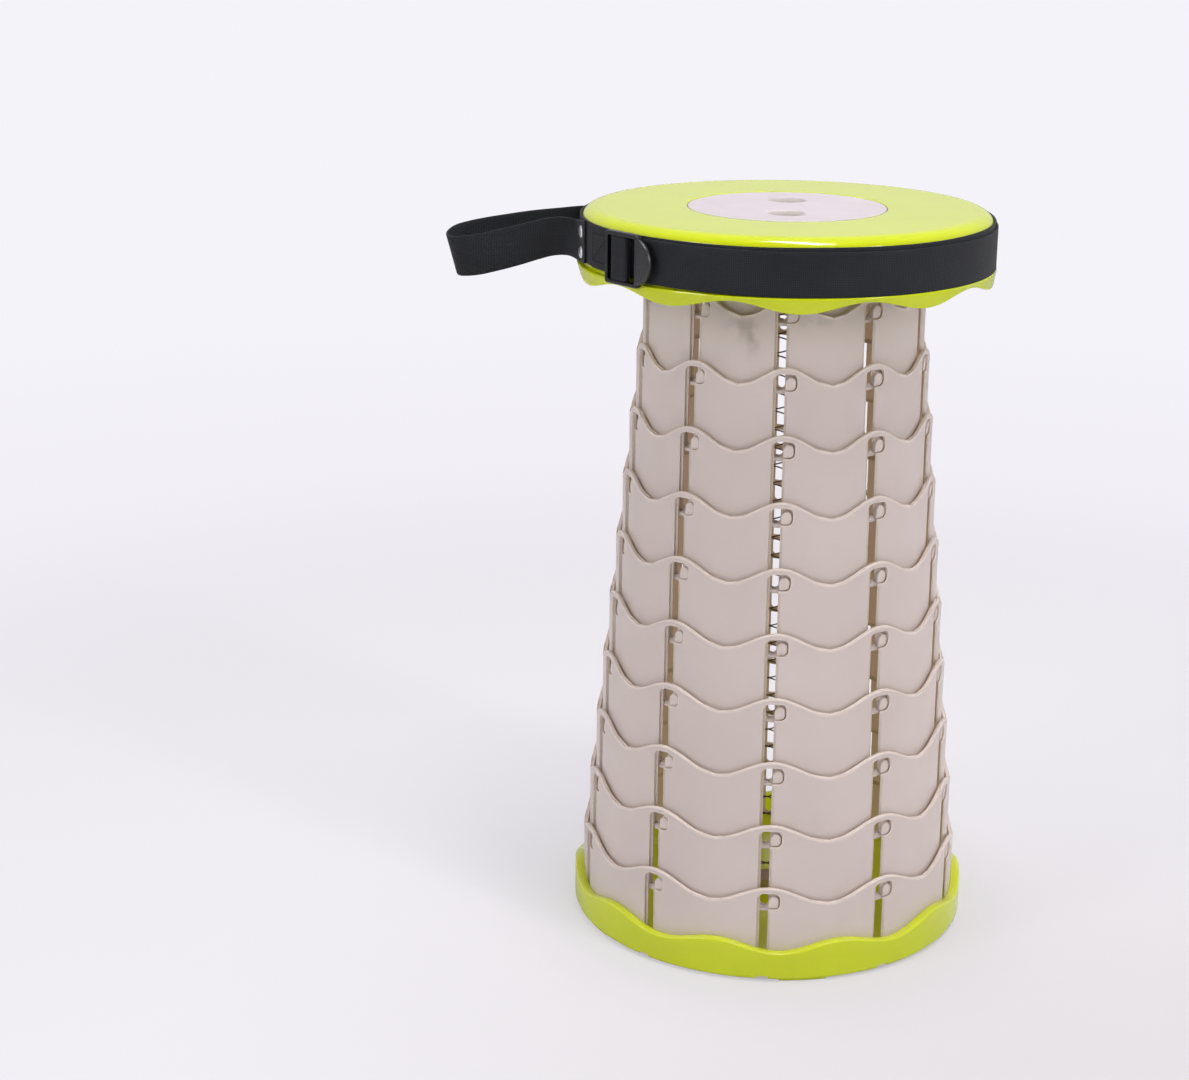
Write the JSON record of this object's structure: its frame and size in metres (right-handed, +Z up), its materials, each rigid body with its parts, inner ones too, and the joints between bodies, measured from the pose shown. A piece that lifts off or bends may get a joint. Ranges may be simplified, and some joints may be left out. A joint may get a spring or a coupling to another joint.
{
  "type": "telescopic folding step stool",
  "caption": "Round telescopic step stool: a seat on nested slotted rings over a hooped base, with a webbing strap, buckle and hand loop; it slides down flat.",
  "frame": {"origin": "on the stool's axis at the floor, at the middle of the round foot under the base", "axes": "+Z up along the axis of the rings, -Y towards the front as pictured, -X towards the hand loop"},
  "size_m": [0.332, 0.2526, 0.4518],
  "materials": {
    "lime_plastic": "fine-grained moulded polypropylene, lime green",
    "beige_plastic": "smooth satin moulded nylon, warm beige",
    "pale_plastic": "smooth matt, pale pinkish grey",
    "webbing": "woven polyester webbing, charcoal",
    "black_plastic": "satin moulded, black",
    "spring_wire": "drawn spring wire",
    "rivet_steel": "bright plated",
    "screw_steel": "zinc plated"
  },
  "bodies": {
    "base": {"base_cup": "lime_plastic", "ring_10": "beige_plastic", "spring_plug_base": "black_plastic", "spring": "spring_wire"},
    "ring_9_body": {"ring_9": "beige_plastic"},
    "ring_8_body": {"ring_8": "beige_plastic"},
    "ring_7_body": {"ring_7": "beige_plastic"},
    "ring_6_body": {"ring_6": "beige_plastic"},
    "ring_5_body": {"ring_5": "beige_plastic"},
    "ring_4_body": {"ring_4": "beige_plastic"},
    "ring_3_body": {"ring_3": "beige_plastic"},
    "ring_2_body": {"ring_2": "beige_plastic"},
    "ring_1_body": {"ring_1": "beige_plastic"},
    "seat": {"seat_collar": "beige_plastic", "seat_cover": "lime_plastic", "finger_tray": "lime_plastic", "grip_insert": "pale_plastic", "collar_screws": "screw_steel", "spring_plug_seat": "black_plastic", "strap_belt": "webbing", "strap_tail": "webbing", "strap_buckle": "black_plastic", "hand_loop": "webbing", "strap_rivets": "rivet_steel", "rivet_caps": "rivet_steel"}
  },
  "joints": [
    {"name": "slide_ring_9", "type": "slide", "parent": "base", "child": "ring_9_body", "axis": [0, 0, -1], "range_m": [0, 0.0391], "deforming": ["spring"]},
    {"name": "slide_ring_8", "type": "slide", "parent": "ring_9_body", "child": "ring_8_body", "axis": [0, 0, -1], "range_m": [0, 0.0391]},
    {"name": "slide_ring_7", "type": "slide", "parent": "ring_8_body", "child": "ring_7_body", "axis": [0, 0, -1], "range_m": [0, 0.0391]},
    {"name": "slide_ring_6", "type": "slide", "parent": "ring_7_body", "child": "ring_6_body", "axis": [0, 0, -1], "range_m": [0, 0.0391]},
    {"name": "slide_ring_5", "type": "slide", "parent": "ring_6_body", "child": "ring_5_body", "axis": [0, 0, -1], "range_m": [0, 0.0391]},
    {"name": "slide_ring_4", "type": "slide", "parent": "ring_5_body", "child": "ring_4_body", "axis": [0, 0, -1], "range_m": [0, 0.0391]},
    {"name": "slide_ring_3", "type": "slide", "parent": "ring_4_body", "child": "ring_3_body", "axis": [0, 0, -1], "range_m": [0, 0.0391]},
    {"name": "slide_ring_2", "type": "slide", "parent": "ring_3_body", "child": "ring_2_body", "axis": [0, 0, -1], "range_m": [0, 0.0391]},
    {"name": "slide_ring_1", "type": "slide", "parent": "ring_2_body", "child": "ring_1_body", "axis": [0, 0, -1], "range_m": [0, 0.0391]},
    {"name": "slide_seat", "type": "slide", "parent": "ring_1_body", "child": "seat", "axis": [0, 0, -1], "range_m": [0, 0.0371]}
  ],
  "couplings": [
    {"joint": "slide_ring_8", "follows": "slide_ring_9", "ratio": 1},
    {"joint": "slide_ring_7", "follows": "slide_ring_9", "ratio": 1},
    {"joint": "slide_ring_6", "follows": "slide_ring_9", "ratio": 1},
    {"joint": "slide_ring_5", "follows": "slide_ring_9", "ratio": 1},
    {"joint": "slide_ring_4", "follows": "slide_ring_9", "ratio": 1},
    {"joint": "slide_ring_3", "follows": "slide_ring_9", "ratio": 1},
    {"joint": "slide_ring_2", "follows": "slide_ring_9", "ratio": 1},
    {"joint": "slide_ring_1", "follows": "slide_ring_9", "ratio": 1},
    {"joint": "slide_seat", "follows": "slide_ring_9", "ratio": 0.94885}
  ]
}
